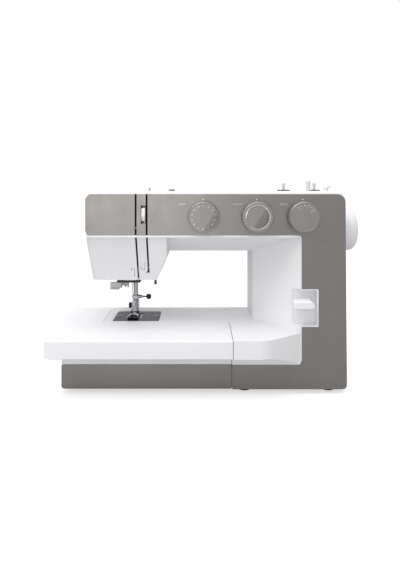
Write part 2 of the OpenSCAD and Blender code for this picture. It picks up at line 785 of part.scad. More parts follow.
module winder_spindle() color([0.78, 0.78, 0.76])
    union() {
        rod_z(232, 264.8, winder_x, winder_y, 6);
        rod_z(228, 232, winder_x, winder_y, 18);
    }

module carry_handle() color(white)
    union() {
        for (x = [handle_x[0], handle_x[1] - 8])
            along_x(x, x + 8)
                polygon(outline([[handle_y - 4, handle_z + 4, 3.6], [handle_y + 4, handle_z + 4, 3.6],
                                 [handle_y + 4, 200, 2], [handle_y - 4, 200, 2]]));
        along_x(handle_x[0] + 8, handle_x[1] - 8)
            polygon(outline([[handle_y - 4, 200, 3], [handle_y + 4, 200, 3],
                             [handle_y + 4, 212, 3], [handle_y - 4, 212, 3]]));
        rod_x(handle_x[0] - 4, handle_x[0], handle_y, handle_z, 4);
        rod_x(handle_x[1], handle_x[1] + 4, handle_y, handle_z, 4);
    }

module power_switch() color(dark)
    translate([switch_x, 0, 58]) rotate([0, 6, 0])
        union() {
            box([-2, 22.6, -10.6], [6.2, 37.4, 10.6]);
            rod_y(20.5, 39.5, 0, 0, 2);
        }

// ---------------------------------------------------------------- shuttle and feed

module shuttle_hook() color(steel)
    union() {
        difference() {
            rod_y(4, 20, needle_x, hook_z, 26);
            rod_y(4 - eps, 17, needle_x, hook_z, 22.6);
            box([needle_x - 1, 3, hook_z + 4], [needle_x + 14, 16, hook_z + 14]);
        }
        rod_y(20, web_y + web_t, needle_x, hook_z, 6);
    }

module bobbin() color([0.85, 0.87, 0.9])
    difference() {
        union() {
            rod_y(4, 5.2, needle_x, hook_z, 19.8);
            rod_y(5, 12, needle_x, hook_z, 9);
            rod_y(11.8, 13, needle_x, hook_z, 19.8);
        }
        rod_y(3, 14, needle_x, hook_z, 5.8 + fit);
    }

module feed_dog() color(steel)
    union() {
        box([-109.3, 28.8, 67.5], [-86.7, 35.4, 71.6]);
        for (x = [-107.5, -88.5]) box([x - 1.5, 13.4, 71.4], [x + 1.5, 35.4, feed_top]);
        box([-99.4, 30.8, 71.4], [-96.6, 35.4, feed_top]);
    }

module shuttle_cover() color(white)
    union() {
        along_x(-124.3, -63.9)
            polygon(outline([[-3, door_z - 1.25, 1.24], [-0.5, door_z - 1.25, 1.24],
                             [-0.5, 69.3, 0], [-3, 69.3, 0]]));
        rod_x(-126, -62.4, door_y, door_z, door_pin);
    }

// ---------------------------------------------------------------- the machine

base_plate();
rubber_feet();
front_panel();
front_cover();
rear_cover();
top_cover();
face_cover();
side_cover();
bed_cover();
free_arm_cover();
needle_plate();
case_screws();
arm_frame();
shaft_bushes();
stitch_cam_unit();
tension_unit();
top_thread_guide();
winder_tension_disc();
spool_felts();
winder_stop();
lever_housing();
power_inlet();
sewing_lamp();
motor();
motor_belt();
timing_belt();
shuttle_race();
bobbin_case();
handwheel();
arm_shaft();
motor_pulley();
lower_shaft();
pattern_dial();
length_dial();
width_dial();
reverse_lever();
tension_dial();
take_up_lever();
needle_bar_frame();
needle_bar();
needle_clamp();
clamp_screw();
needle();
presser_lifter();
presser_bar();
foot_holder();
presser_foot();
needle_threader();
spool_pin_left();
spool_pin_right();
winder_arm();
winder_spindle();
extension_table();
table_facing();
shuttle_hook();
bobbin();
feed_dog();
shuttle_cover();
carry_handle();
power_switch();
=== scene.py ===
"""Finishes and fine shapes of a free-arm sewing machine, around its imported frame.

Everything is in metres in the frame's own axes: +X to the handwheel, -Y to the sewer and +Z up.
"""

import json
import math

import bmesh
import bpy
from mathutils import Matrix, Vector

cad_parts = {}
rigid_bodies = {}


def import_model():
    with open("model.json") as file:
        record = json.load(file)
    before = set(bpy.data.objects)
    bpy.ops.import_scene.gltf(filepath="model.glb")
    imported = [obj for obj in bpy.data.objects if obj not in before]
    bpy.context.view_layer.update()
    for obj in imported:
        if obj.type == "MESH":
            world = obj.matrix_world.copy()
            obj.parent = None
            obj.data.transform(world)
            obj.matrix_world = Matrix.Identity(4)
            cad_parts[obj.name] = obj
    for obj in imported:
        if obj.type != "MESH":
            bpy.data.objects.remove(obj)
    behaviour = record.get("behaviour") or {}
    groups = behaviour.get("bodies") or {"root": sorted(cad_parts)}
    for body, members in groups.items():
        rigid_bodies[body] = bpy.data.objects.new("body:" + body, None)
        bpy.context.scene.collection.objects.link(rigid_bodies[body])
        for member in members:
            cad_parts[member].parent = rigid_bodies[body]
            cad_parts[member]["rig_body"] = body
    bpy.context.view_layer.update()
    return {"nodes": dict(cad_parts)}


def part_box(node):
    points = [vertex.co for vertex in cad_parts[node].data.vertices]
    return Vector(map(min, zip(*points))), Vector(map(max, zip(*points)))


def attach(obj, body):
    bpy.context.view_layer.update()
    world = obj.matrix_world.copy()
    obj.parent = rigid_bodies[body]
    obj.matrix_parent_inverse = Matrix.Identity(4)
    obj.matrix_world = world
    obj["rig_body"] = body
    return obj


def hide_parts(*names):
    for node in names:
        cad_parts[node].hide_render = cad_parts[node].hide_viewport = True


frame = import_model()
MM = 0.001
X, Y, Z = Vector((1, 0, 0)), Vector((0, 1, 0)), Vector((0, 0, 1))
ROOM_LIGHT = 0.80                                  # strength of the light from all round
FLOOR_GLOW = 0.62                                  # lifts the floor's tone for the camera alone
FONT_SIZE = 1.4                                    # font size over the height of its figures


# ------------------------------------------------------------------ camera and studio

def camera_in_front():
    """A level camera, close in front of the panel, with its lens shifted down."""
    data = bpy.data.cameras.new("camera")
    data.sensor_width = 36.0
    data.lens = 29.58
    data.shift_y = -0.170
    data.clip_start = 0.05
    eye = bpy.data.objects.new("camera", data)
    eye.location = (-0.006, -0.634, 0.2548)
    eye.rotation_euler = (math.radians(90), 0, 0)
    bpy.context.scene.collection.objects.link(eye)
    bpy.context.scene.camera = eye


def soft_lamp(name, place, aim, size, power):
    """A rectangular lamp at a place, turned towards the point it aims at."""
    data = bpy.data.lights.new(name, "AREA")
    data.shape = "RECTANGLE"
    data.size, data.size_y = size
    data.energy = power
    lamp = bpy.data.objects.new(name, data)
    lamp.location = place
    lamp.rotation_euler = (Vector(aim) - Vector(place)).to_track_quat("-Z", "Y").to_euler()
    bpy.context.scene.collection.objects.link(lamp)


def camera_share(tree, others, camera):
    """A value that differs between camera rays and all other rays."""
    share = tree.nodes.new("ShaderNodeMapRange")
    share.inputs["To Min"].default_value = others
    share.inputs["To Max"].default_value = camera
    seen = tree.nodes.new("ShaderNodeLightPath").outputs["Is Camera Ray"]
    tree.links.new(seen, share.inputs["Value"])
    return share.outputs["Result"]


def studio():
    """Pale even light from all round, soft lamps at the upper left, front and top, a pale floor."""
    scene = bpy.context.scene
    scene.view_settings.view_transform = "Standard"
    world = bpy.data.worlds.new("pale_room")
    scene.world = world
    world.use_nodes = True
    tree = world.node_tree
    sky = tree.nodes["Background"]
    sky.inputs["Color"].default_value = (1.0, 1.0, 1.01, 1)
    tree.links.new(camera_share(tree, ROOM_LIGHT, 1.0), sky.inputs["Strength"])
    soft_lamp("key", (-0.55, -0.6, 1.25), (0.12, 0, 0.12), (0.8, 0.7), 8)
    soft_lamp("card", (-0.28, -1.1, 0.22), (-0.1, 0, 0.2), (0.7, 0.45), 1.5)
    soft_lamp("top", (0.1, -0.1, 1.5), (0, 0, 0.1), (1.2, 0.9), 7)
    bm = bmesh.new()
    bmesh.ops.create_grid(bm, x_segments=1, y_segments=1, size=8)
    mesh = bpy.data.meshes.new("floor")
    bm.to_mesh(mesh)
    bm.free()
    floor = bpy.data.objects.new("floor", mesh)
    scene.collection.objects.link(floor)
    mat = bpy.data.materials.new("pale_floor")
    mat.use_nodes = True
    tree = mat.node_tree
    shader = tree.nodes["Principled BSDF"]
    shader.inputs["Base Color"].default_value = (0.46, 0.46, 0.46, 1)
    shader.inputs["Roughness"].default_value = 0.9
    shader.inputs["Emission Color"].default_value = (1.0, 1.0, 1.0, 1)
    tree.links.new(camera_share(tree, 0.0, FLOOR_GLOW), shader.inputs["Emission Strength"])
    mesh.materials.append(mat)


# ------------------------------------------------------------------ shader groups

def new_group(name, inputs, outputs):
    """A shader group with float, colour or vector sockets: {name: default}."""
    tree = bpy.data.node_groups.new(name, "ShaderNodeTree")
    for key, value in inputs.items():
        kind = "NodeSocketColor" if isinstance(value, tuple) and len(value) == 4 else (
            "NodeSocketVector" if isinstance(value, tuple) else "NodeSocketFloat")
        socket = tree.interface.new_socket(key, in_out="INPUT", socket_type=kind)
        socket.default_value = value
    for key, kind in outputs.items():
        tree.interface.new_socket(key, in_out="OUTPUT", socket_type="NodeSocket" + kind)
    start = tree.nodes.new("NodeGroupInput")
    end = tree.nodes.new("NodeGroupOutput")
    return tree, start, end


def noise(tree, vector, scale, detail=3.0, rough=0.5):
    """A noise texture's value; scale may be a number or a socket."""
    n = tree.nodes.new("ShaderNodeTexNoise")
    n.inputs["Detail"].default_value = detail
    n.inputs["Roughness"].default_value = rough
    tree.links.new(vector, n.inputs["Vector"])
    if isinstance(scale, (int, float)):
        n.inputs["Scale"].default_value = scale
    else:
        tree.links.new(scale, n.inputs["Scale"])
    return n.outputs["Fac"]


def total(tree, a, b):
    """The sum of two sockets."""
    n = tree.nodes.new("ShaderNodeMath")
    n.operation = "ADD"
    tree.links.new(a, n.inputs[0])
    tree.links.new(b, n.inputs[1])
    return n.outputs[0]


def span(tree, value, low, high, to_low, to_high):
    """A socket's value moved from one range to another."""
    n = tree.nodes.new("ShaderNodeMapRange")
    tree.links.new(value, n.inputs["Value"])
    for key, number in (("From Min", low), ("From Max", high), ("To Min", to_low), ("To Max", to_high)):
        n.inputs[key].default_value = number
    return n.outputs["Result"]


def mix_colour(tree, share, a, b):
    """Colour a turning into colour b as the share grows."""
    n = tree.nodes.new("ShaderNodeMix")
    n.data_type = "RGBA"
    for socket, value in ((n.inputs[0], share), (n.inputs[6], a), (n.inputs[7], b)):
        tree.links.new(value, socket)
    return n.outputs[2]


def bump(tree, height, strength, distance):
    """A normal bent by a height, whose relief is distance metres deep."""
    n = tree.nodes.new("ShaderNodeBump")
    n.inputs["Distance"].default_value = distance
    tree.links.new(height, n.inputs["Height"])
    tree.links.new(strength, n.inputs["Strength"])
    return n.outputs["Normal"]


def moulded_skin_group():
    """Moulded plastic or paint: fine grain, faint cloudiness in colour and gloss."""
    tree, start, end = new_group(
        "moulded_skin",
        {"Colour": (1.0, 1.0, 1.0, 1.0), "Shade": (0.9, 0.9, 0.9, 1.0), "Roughness": 0.4,
         "Grain Size": 1500.0, "Grain": 0.2},
        {"Colour": "Color", "Roughness": "Float", "Normal": "Vector"})
    place = tree.nodes.new("ShaderNodeTexCoord").outputs["Object"]
    cloud = noise(tree, place, 14.0, 4.0)
    handled = noise(tree, place, 55.0, 5.0, 0.6)
    grain = noise(tree, place, start.outputs["Grain Size"], 2.0)
    share = span(tree, cloud, 0.35, 0.75, 0.0, 1.0)
    tree.links.new(mix_colour(tree, share, start.outputs["Colour"], start.outputs["Shade"]),
                   end.inputs["Colour"])
    gloss = span(tree, handled, 0.3, 0.7, -0.04, 0.04)
    tree.links.new(total(tree, start.outputs["Roughness"], gloss), end.inputs["Roughness"])
    tree.links.new(bump(tree, grain, start.outputs["Grain"], 0.00012), end.inputs["Normal"])
    return tree


def turned_metal_group():
    """Ground or turned metal: fine lines drawn out along the axis that Stretch squeezes."""
    tree, start, end = new_group(
        "turned_metal",
        {"Colour": (0.6, 0.6, 0.62, 1.0), "Shade": (0.4, 0.4, 0.42, 1.0), "Roughness": 0.25,
         "Stretch": (1.0, 1.0, 40.0), "Lines": 0.2},
        {"Colour": "Color", "Roughness": "Float", "Normal": "Vector"})
    place = tree.nodes.new("ShaderNodeTexCoord").outputs["Object"]
    squeeze = tree.nodes.new("ShaderNodeVectorMath")
    squeeze.operation = "MULTIPLY"
    tree.links.new(place, squeeze.inputs[0])
    tree.links.new(start.outputs["Stretch"], squeeze.inputs[1])
    lines = noise(tree, squeeze.outputs[0], 140.0, 5.0, 0.6)
    marks = noise(tree, place, 220.0, 3.0)
    tree.links.new(mix_colour(tree, span(tree, marks, 0.4, 0.75, 0.0, 0.7),
                              start.outputs["Colour"], start.outputs["Shade"]),
                   end.inputs["Colour"])
    gloss = span(tree, lines, 0.3, 0.7, -0.06, 0.08)
    tree.links.new(total(tree, start.outputs["Roughness"], gloss), end.inputs["Roughness"])
    tree.links.new(bump(tree, lines, start.outputs["Lines"], 0.00005), end.inputs["Normal"])
    return tree


MOULDED = moulded_skin_group()
TURNED = turned_metal_group()


def material(name, group, values, metallic=0.0, coat=0.0, specular=0.5):
    """A Principled material whose colour, roughness and normal come from a group."""
    mat = bpy.data.materials.new(name)
    mat.use_nodes = True
    tree = mat.node_tree
    shader = tree.nodes["Principled BSDF"]
    shader.inputs["Metallic"].default_value = metallic
    shader.inputs["Specular IOR Level"].default_value = specular
    shader.inputs["Coat Weight"].default_value = coat
    shader.inputs["Coat Roughness"].default_value = 0.2
    node = tree.nodes.new("ShaderNodeGroup")
    node.node_tree = group
    for key, value in values.items():
        node.inputs[key].default_value = value
    tree.links.new(node.outputs["Colour"], shader.inputs["Base Color"])
    tree.links.new(node.outputs["Roughness"], shader.inputs["Roughness"])
    tree.links.new(node.outputs["Normal"], shader.inputs["Normal"])
    return mat


def moulded(name, colour, shade, roughness, grain_size, grain, **finish):
    """Plastic, paint, rubber or felt: cloudy between two colours, with a grain."""
    return material(name, MOULDED, {
        "Colour": (*colour, 1.0), "Shade": (*shade, 1.0), "Roughness": roughness,
        "Grain Size": grain_size, "Grain": grain}, **finish)


def turned(name, colour, shade, roughness, stretch, lines, metallic=1.0):
    """Metal with fine lines: marked between two colours."""
    return material(name, TURNED, {
        "Colour": (*colour, 1.0), "Shade": (*shade, 1.0), "Roughness": roughness,
        "Stretch": stretch, "Lines": lines}, metallic)


white_shell = moulded("white_moulding", (0.83, 0.83, 0.845), (0.80, 0.80, 0.82),
                      0.36, 1800.0, 0.10, specular=0.35)
grey_paint = moulded("grey_panel_paint", (0.292, 0.276, 0.263), (0.269, 0.254, 0.242),
                     0.36, 2600.0, 0.22, metallic=0.95, coat=0.05)
dial_grey = moulded("grey_dial_moulding", (0.31, 0.294, 0.281), (0.282, 0.267, 0.256),
                    0.4, 2200.0, 0.18, metallic=0.7)
base_grey = moulded("grey_base_moulding", (0.22, 0.21, 0.20), (0.18, 0.17, 0.165), 0.6, 900.0, 0.5)
black_plastic = moulded("black_moulding", (0.012, 0.012, 0.013), (0.02, 0.02, 0.021),
                        0.38, 1500.0, 0.3)
pale_plastic = moulded("pale_moulding", (0.62, 0.62, 0.60), (0.55, 0.55, 0.53), 0.35, 1500.0, 0.2)
rubber = moulded("black_rubber", (0.022, 0.022, 0.022), (0.04, 0.04, 0.04), 0.8, 1000.0, 0.6)
felt = moulded("dark_felt", (0.05, 0.05, 0.052), (0.10, 0.10, 0.10), 0.95, 3200.0, 1.0)
white_print = moulded("white_print", (0.88, 0.88, 0.88), (0.8, 0.8, 0.8), 0.5, 3000.0, 0.1)
grey_print = moulded("grey_print", (0.2, 0.2, 0.21), (0.26, 0.26, 0.27), 0.5, 3000.0, 0.1)
lamp_lens = moulded("frosted_lens", (0.86, 0.87, 0.84), (0.8, 0.8, 0.78), 0.25, 900.0, 0.4)
bright_steel = turned("bright_plate", (0.46, 0.46, 0.48), (0.34, 0.34, 0.36),
                      0.18, (1.0, 1.0, 12.0), 0.1)
ground_steel = turned("ground_steel", (0.3, 0.3, 0.32), (0.2, 0.2, 0.22),
                      0.3, (30.0, 1.0, 1.0), 0.3)
plate_steel = turned("needle_plate_steel", (0.075, 0.07, 0.095), (0.055, 0.052, 0.07),
                     0.38, (1.0, 18.0, 1.0), 0.35, metallic=0.75)
cast_metal = moulded("cast_frame", (0.52, 0.53, 0.54), (0.42, 0.43, 0.44),
                     0.5, 700.0, 0.8, metallic=0.9)
bronze = turned("sintered_bronze", (0.55, 0.38, 0.19), (0.42, 0.28, 0.13),
                0.4, (1.0, 1.0, 8.0), 0.3)


# ------------------------------------------------------------------ shaping

def piece(name, bm, body, mat, replaces=(), smooth=32):
    """Makes a finished piece of a bmesh: it rides on a body and may stand for CAD nodes."""
    bmesh.ops.remove_doubles(bm, verts=bm.verts, dist=1e-7)
    mesh = bpy.data.meshes.new(name)
    bm.to_mesh(mesh)
    bm.free()
    for f in mesh.polygons:
        f.use_smooth = True
    mesh.set_sharp_from_angle(angle=math.radians(smooth))
    mesh.materials.append(mat)
    obj = bpy.data.objects.new(name, mesh)
    bpy.context.scene.collection.objects.link(obj)
    obj.modifiers.new("even_normals", "WEIGHTED_NORMAL").keep_sharp = True
    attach(obj, body)
    if replaces:
        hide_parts(*replaces)
    return obj


def merged(node):
    """The CAD node's shape with its triangles joined into whole flat faces."""
    bm = bmesh.new()
    bm.from_mesh(frame["nodes"][node].data)
    bmesh.ops.remove_doubles(bm, verts=bm.verts, dist=1e-6)
    bmesh.ops.dissolve_limit(bm, angle_limit=math.radians(0.6), verts=bm.verts, edges=bm.edges)
    return bm


def round_edges(bm, width, segments=2, angle=32, where=None):
    """Bevels the edges sharper than angle, in degrees; where picks them by their middle."""
    limit = math.radians(angle)
    sharp = [e for e in bm.edges
             if len(e.link_faces) == 2 and e.calc_face_angle(0) > limit
             and (where is None or where((e.verts[0].co + e.verts[1].co) / 2))]
    bmesh.ops.bevel(bm, geom=sharp, offset=width, offset_type="OFFSET", segments=segments,
                    profile=0.5, affect="EDGES", clamp_overlap=True, material=-1)
    return bm


def node_body(node):
    """The body that a CAD node rides on."""
    return frame["nodes"][node]["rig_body"]


def middle(node):
    """The middle of a node's box in millimetres."""
    low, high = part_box(node)
    return [(a + b) / 2 / MM for a, b in zip(low, high)]


def finished(node, mat, width=0.4, segments=2, angle=32, where=None):
    """A CAD node's shape with its edges rounded by width millimetres, standing for the node."""
    bm = merged(node)
    if width:
        round_edges(bm, width * MM, segments, angle, where)
    return piece(node + "_finished", bm, node_body(node), mat, (node,))


def rounded(path, steps=6):
    """A flat path of (a, b, radius) corners as points, each corner turned as an arc."""
    points = []
    for i, (a, b, r) in enumerate(path):
        here = Vector((a, b))
        if r <= 0 or i in (0, len(path) - 1):
            points.append(here)
            continue
        before = (Vector(path[i - 1][:2]) - here).normalized()
        after = (Vector(path[i + 1][:2]) - here).normalized()
        half = before.angle(after) / 2
        centre = here + (before + after).normalized() * (r / math.sin(half))
        start = here + before * (r / math.tan(half)) - centre
        end = here + after * (r / math.tan(half)) - centre
        sweep = start.angle_signed(end)
        for k in range(steps + 1):
            points.append(centre + Matrix.Rotation(-sweep * k / steps, 2) @ start)
    return points


def lathe(path, centre, axis, steps=72, corner_steps=6):
    """Turns a path of (radius, height, corner radius), in millimetres, about an axis."""
    axis = Vector(axis)
    side = axis.orthogonal().normalized()
    centre = Vector(centre)
    bm = bmesh.new()
    verts = [bm.verts.new(centre + (side * p.x + axis * p.y) * MM) for p in rounded(path, corner_steps)]
    edges = [bm.edges.new(pair) for pair in zip(verts, verts[1:])]
    bmesh.ops.spin(bm, geom=verts + edges, cent=centre, axis=axis, angle=math.tau, steps=steps,
                   use_merge=True)
    bmesh.ops.remove_doubles(bm, verts=bm.verts, dist=1e-6)
    bmesh.ops.recalc_face_normals(bm, faces=bm.faces)
    return bm


def join(bm, other):
    """Adds another bmesh's shape to bm."""
    mesh = bpy.data.meshes.new("spare")
    other.to_mesh(mesh)
    other.free()
    bm.from_mesh(mesh)
    bpy.data.meshes.remove(mesh)
    return bm


def block(low, high, bevel=0.3, segments=2):
    """A box with rounded edges between two corners in millimetres."""
    low, high = Vector(low), Vector(high)
    bm = bmesh.new()
    bmesh.ops.create_cube(bm, size=1.0)
    size = high - low
    bmesh.ops.scale(bm, vec=size * MM, verts=bm.verts)
    bmesh.ops.translate(bm, vec=(low + high) / 2 * MM, verts=bm.verts)
    if bevel:
        bmesh.ops.bevel(bm, geom=bm.edges[:], offset=bevel * MM, offset_type="OFFSET",
                        segments=segments, profile=0.5, affect="EDGES", clamp_overlap=True,
                        material=-1)
    return bm


def rod(start, end, radius, bevel=0.3, steps=32):
    """A round bar between two points, in millimetres, with rounded ends."""
    start, end = Vector(start), Vector(end)
    length = (end - start).length
    b = min(bevel, radius * 0.9)
    return lathe([(0, 0, 0), (radius, 0, b), (radius, length, b), (0, length, 0)],
                 start * MM, (end - start).normalized(), steps, 3)


def wire(points, radius, steps):
    """A bent wire through points in millimetres."""
    bm = bmesh.new()
    for p, q in zip(points, points[1:]):
        join(bm, rod(p, q, radius, 0.1, steps))
    return bm


def knurl(bm, centre, beyond, depth):
    """Cuts 32 shallow grooves along X into what lies beyond a radius from the centre's axis."""
    for v in bm.verts:
        out = Vector((0, v.co.y - centre.y, v.co.z - centre.z))
        if out.length > beyond * MM:
            wave = 0.5 + 0.5 * math.cos(32 * math.atan2(out.y, out.z))
            v.co -= out.normalized() * depth * MM * wave


def push_out(bm, faces, push):
    """Gives flat faces a thickness along a vector."""
    grown = bmesh.ops.extrude_face_region(bm, geom=faces)
    moved = [g for g in grown["geom"] if isinstance(g, bmesh.types.BMVert)]
    bmesh.ops.translate(bm, vec=push, verts=moved)
    bmesh.ops.recalc_face_normals(bm, faces=bm.faces)


def slab(path, along, low, high, bevel=0.3, segments=2, steps=6):
    """A flat outline of (a, b, radius) corners, closed, pushed along an axis from low to high.

    Along X the path is (Y, Z), along Y it is (X, Z) and along Z it is (X, Y), in millimetres.
    """
    closed = [path[-1], *path, path[0]]
    points = rounded(closed, steps)[1:-1]
    place = {"X": lambda p: (low, p.x, p.y), "Y": lambda p: (p.x, low, p.y),
             "Z": lambda p: (p.x, p.y, low)}[along]
    push = {"X": X, "Y": Y, "Z": Z}[along] * (high - low) * MM
    bm = bmesh.new()
    face = bm.faces.new([bm.verts.new(Vector(place(p)) * MM) for p in points])
    push_out(bm, [face], push)
    if bevel:
        round_edges(bm, bevel * MM, segments, 40)
    return bm


# ------------------------------------------------------------------ printed marks

def ribbon(points, widths, y=0.0, thick=0.12):
    """A flat band along (x, z) points on a face that looks along -Y, with a width at each point."""
    bm = bmesh.new()
    points = [Vector(p) for p in points]
    rows = []
    for i, (p, width) in enumerate(zip(points, widths)):
        step = (points[min(i + 1, len(points) - 1)] - points[max(i - 1, 0)]).normalized()
        aside = Vector((-step.y, step.x)) * width / 2
        rows.append([bm.verts.new(Vector((q.x, y, q.y)) * MM) for q in (p - aside, p + aside)])
    for p, q in zip(rows, rows[1:]):
        bm.faces.new((p[0], p[1], q[1], q[0]))
    push_out(bm, bm.faces[:], -Y * thick * MM)
    return bm


def turn(centre, radius, angle):
    """The point at an angle in degrees, clockwise from the top, on a circle in X and Z."""
    a = math.radians(angle)
    return Vector((centre[0] + radius * math.sin(a), centre[1] + radius * math.cos(a)))


def arc_line(centre, radius, start, end, width, y=0.0, thick=0.12):
    """A band along an arc from one angle to another, clockwise from the top."""
    steps = max(3, int(abs(end - start) / 5))
    points = [turn(centre, radius, start + (end - start) * k / steps) for k in range(steps + 1)]
    return ribbon(points, [width] * len(points), y, thick)


def dot(centre, radius, y=0.0, thick=0.12):
    """A round dot on a face that looks along -Y."""
    return rod((centre[0], y, centre[1]), (centre[0], y - thick, centre[1]), radius, 0.03, 20)


def arrow(start, end, width, head, y=0.0, thick=0.12):
    """A thin stroke that ends in a filled arrow head."""
    start, end = Vector(start), Vector(end)
    neck = end + (start - end).normalized() * head
    bm = ribbon([start, neck], [width, width], y, thick)
    return join(bm, ribbon([neck, end], [head, 0.05], y, thick))


def figure(text, height, centre, angle=0.0, y=0.0, thick=0.12):
    """Figures lying on a face that looks along -Y, turned clockwise about their middle."""
    curve = bpy.data.curves.new("figure", "FONT")
    curve.body = text
    curve.size = height * FONT_SIZE * MM
    curve.align_x, curve.align_y = "CENTER", "CENTER"
    curve.extrude = thick / 2 * MM
    curve.resolution_u = 2
    obj = bpy.data.objects.new("figure", curve)
    bpy.context.scene.collection.objects.link(obj)
    bpy.context.view_layer.update()
    mesh = bpy.data.meshes.new_from_object(obj)
    bpy.data.objects.remove(obj)
    bpy.data.curves.remove(curve)
    mesh.transform(Matrix.Translation(Vector((centre[0], y - thick / 2, centre[1])) * MM)
                   @ Matrix.Rotation(math.radians(angle), 4, "Y")
                   @ Matrix.Rotation(math.radians(90), 4, "X"))
    bm = bmesh.new()
    bm.from_mesh(mesh)
    bpy.data.meshes.remove(mesh)
    return bm


def printed(name, parts, body, mat, lay=None):
    """Prints a list of marks as one piece; lay moves each point onto its surface."""
    bm = parts[0]
    for p in parts[1:]:
        join(bm, p)
    if lay:
        for v in bm.verts:
            lay(v)
    return piece(name, bm, body, mat)


camera_in_front()
studio()


# ------------------------------------------------------------------ casing and table

panel_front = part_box("front_panel")[0].y / MM      # front of the grey panel
cover_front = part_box("front_panel")[1].y / MM      # front of the covers behind it
panel_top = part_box("front_panel")[1].z / MM
split_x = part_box("bed_cover")[0].x / MM
head_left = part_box("face_cover")[0].x / MM
head_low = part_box("face_cover")[0].z / MM
dial_z = middle("pattern_dial")[2]
RIM_Z = 53.3                                       # underside of the bed's overhang
SKIRT_Z = 36.6                                     # top of the grey base strip
STRIP_Z = 196.5                                    # lower edge of the grey arm strip
OPENING_X = 120.0                                  # right edge of the panel's opening
SWEEP_X = 76.0                                     # where the bed's front starts to sweep back
SLOTS = (-85.6, -72.0)                             # thread slots in the head
SLOT_HALF = 1.1                                    # half a slot's width
SLOT_FOOT = 146.0                                  # lower end of the right slot's channel
WINDOW_Z = (210.8, 233.2)                          # lower and upper edge of the tension window
POINTER_Z = 222.0                                  # height of the tension pointer
LEAN_TOP, LEAN_FOOT = (-52.5, 193.0), (-25.0, head_low)     # (Y, Z) of the head's leaning face


def front_panel():
    """The grey panel; the strip between the slots is cut out at its right for the tension wheel."""
    bm = merged("front_panel")
    left, right = SLOTS[0] + SLOT_HALF, SLOTS[1] - SLOT_HALF
    strip = [v for v in bm.verts if left - 0.3 < v.co.x / MM < right + 0.3]
    bmesh.ops.delete(bm, geom=strip, context="VERTS")
    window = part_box("tension_dial")[0].x / MM - 0.3
    low, high = WINDOW_Z
    foot = STRIP_Z + 0.05
    join(bm, slab([(left, foot, 0), (right, foot, 0), (right, low, 0), (window, low, 0),
                   (window, high, 0), (right, high, 0), (right, panel_top, 0), (left, panel_top, 0)],
                  "Y", panel_front, cover_front, 0))
    round_edges(bm, 0.4 * MM, 3)
    piece("front_panel_finished", bm, "root", grey_paint, ("front_panel",))


def casing():
    """Covers and outer mouldings, each with its own rounding in millimetres and steps."""
    for node, mat, width, steps in (
            ("table_facing", grey_paint, 0.4, 3), ("front_cover", white_shell, 0.9, 3),
            ("rear_cover", white_shell, 0.8, 3), ("top_cover", white_shell, 0.3, 2),
            ("face_cover", white_shell, 0.9, 3), ("side_cover", white_shell, 0.8, 3),
            ("lever_housing", white_shell, 0.5, 3), ("free_arm_cover", white_shell, 0.6, 3),
            ("shuttle_cover", white_shell, 0.4, 2), ("base_plate", base_grey, 0.6, 2),
            ("rubber_feet", rubber, 1.2, 3), ("carry_handle", white_shell, 1.0, 3)):
        finished(node, mat, width, steps)


def fixed_bed():
    """The bed right of the table joint; the underside of its swept corner drops to the skirt."""
    bm = merged("bed_cover")
    drop = 14.6
    level = [f for f in bm.faces if len(f.verts) > 4 and abs(f.normal.z) > 0.9]
    bmesh.ops.triangulate(bm, faces=[f for f in level
                                     if abs(f.calc_center_median().z - RIM_Z * MM) < 0.0001])
    for v in bm.verts:
        x, y, z = v.co / MM
        if y < cover_front + 0.01 and SWEEP_X < x < OPENING_X + 0.1 and abs(z - RIM_Z) < 0.01:
            v.co.z -= drop * MM * (x - SWEEP_X) / (OPENING_X - SWEEP_X)
    round_edges(bm, 1.0 * MM, 3, 30)
    piece("bed_cover_finished", bm, "root", white_shell, ("bed_cover",))


def table():
    """The extension table with its long edges rounded over."""
    bm = merged("extension_table")
    round_edges(bm, 1.1 * MM, 3, 30)
    piece("extension_table_finished", bm, "extension_table", white_shell,
          ("extension_table",))


def opening_rim():
    """White lip that frames the panel's opening, broken at the lever's recess."""
    front, back = panel_front + 0.15, cover_front + 0.2
    low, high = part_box("lever_housing")
    edge = OPENING_X - 0.05
    inner = edge - 1.3
    bm = slab([(head_left + 0.5, STRIP_Z - 0.1, 0.8), (edge, STRIP_Z - 0.1, 3.7),
               (edge, high.z / MM, 0), (inner, high.z / MM, 0), (inner, STRIP_Z - 3, 2.4),
               (head_left + 0.8, STRIP_Z - 3, 0.8)], "Y", front, back, 0.5, 3)
    join(bm, slab([(edge, low.z / MM, 0), (edge, SKIRT_Z + 0.05, 3.7),
                   (split_x + 0.2, SKIRT_Z + 0.05, 0), (split_x + 0.2, SKIRT_Z + 1.3, 0),
                   (inner, SKIRT_Z + 1.3, 2.4), (inner, low.z / MM, 0)],
                  "Y", front, back, 0.4, 3))
    piece("opening_rim", bm, "root", white_shell)


front_panel()
casing()
fixed_bed()
table()
opening_rim()


# ------------------------------------------------------------------ head: slots and marks

def lean_y(z):
    """Front of the head at a height, in millimetres."""
    share = (LEAN_TOP[1] - z) / (LEAN_TOP[1] - LEAN_FOOT[1])
    return LEAN_TOP[0] + max(0.0, share) * (LEAN_FOOT[0] - LEAN_TOP[0])


def on_lean(v):
    """Lays a point drawn at its X and Z, on the plane Y = 0, on the head's leaning face."""
    run = Vector((LEAN_FOOT[0] - LEAN_TOP[0], LEAN_TOP[1] - LEAN_FOOT[1])).normalized()
    out = Vector((0, -run.y, -run.x))
    height = -v.co.y
    v.co.y = lean_y(v.co.z / MM) * MM
    v.co += out * height


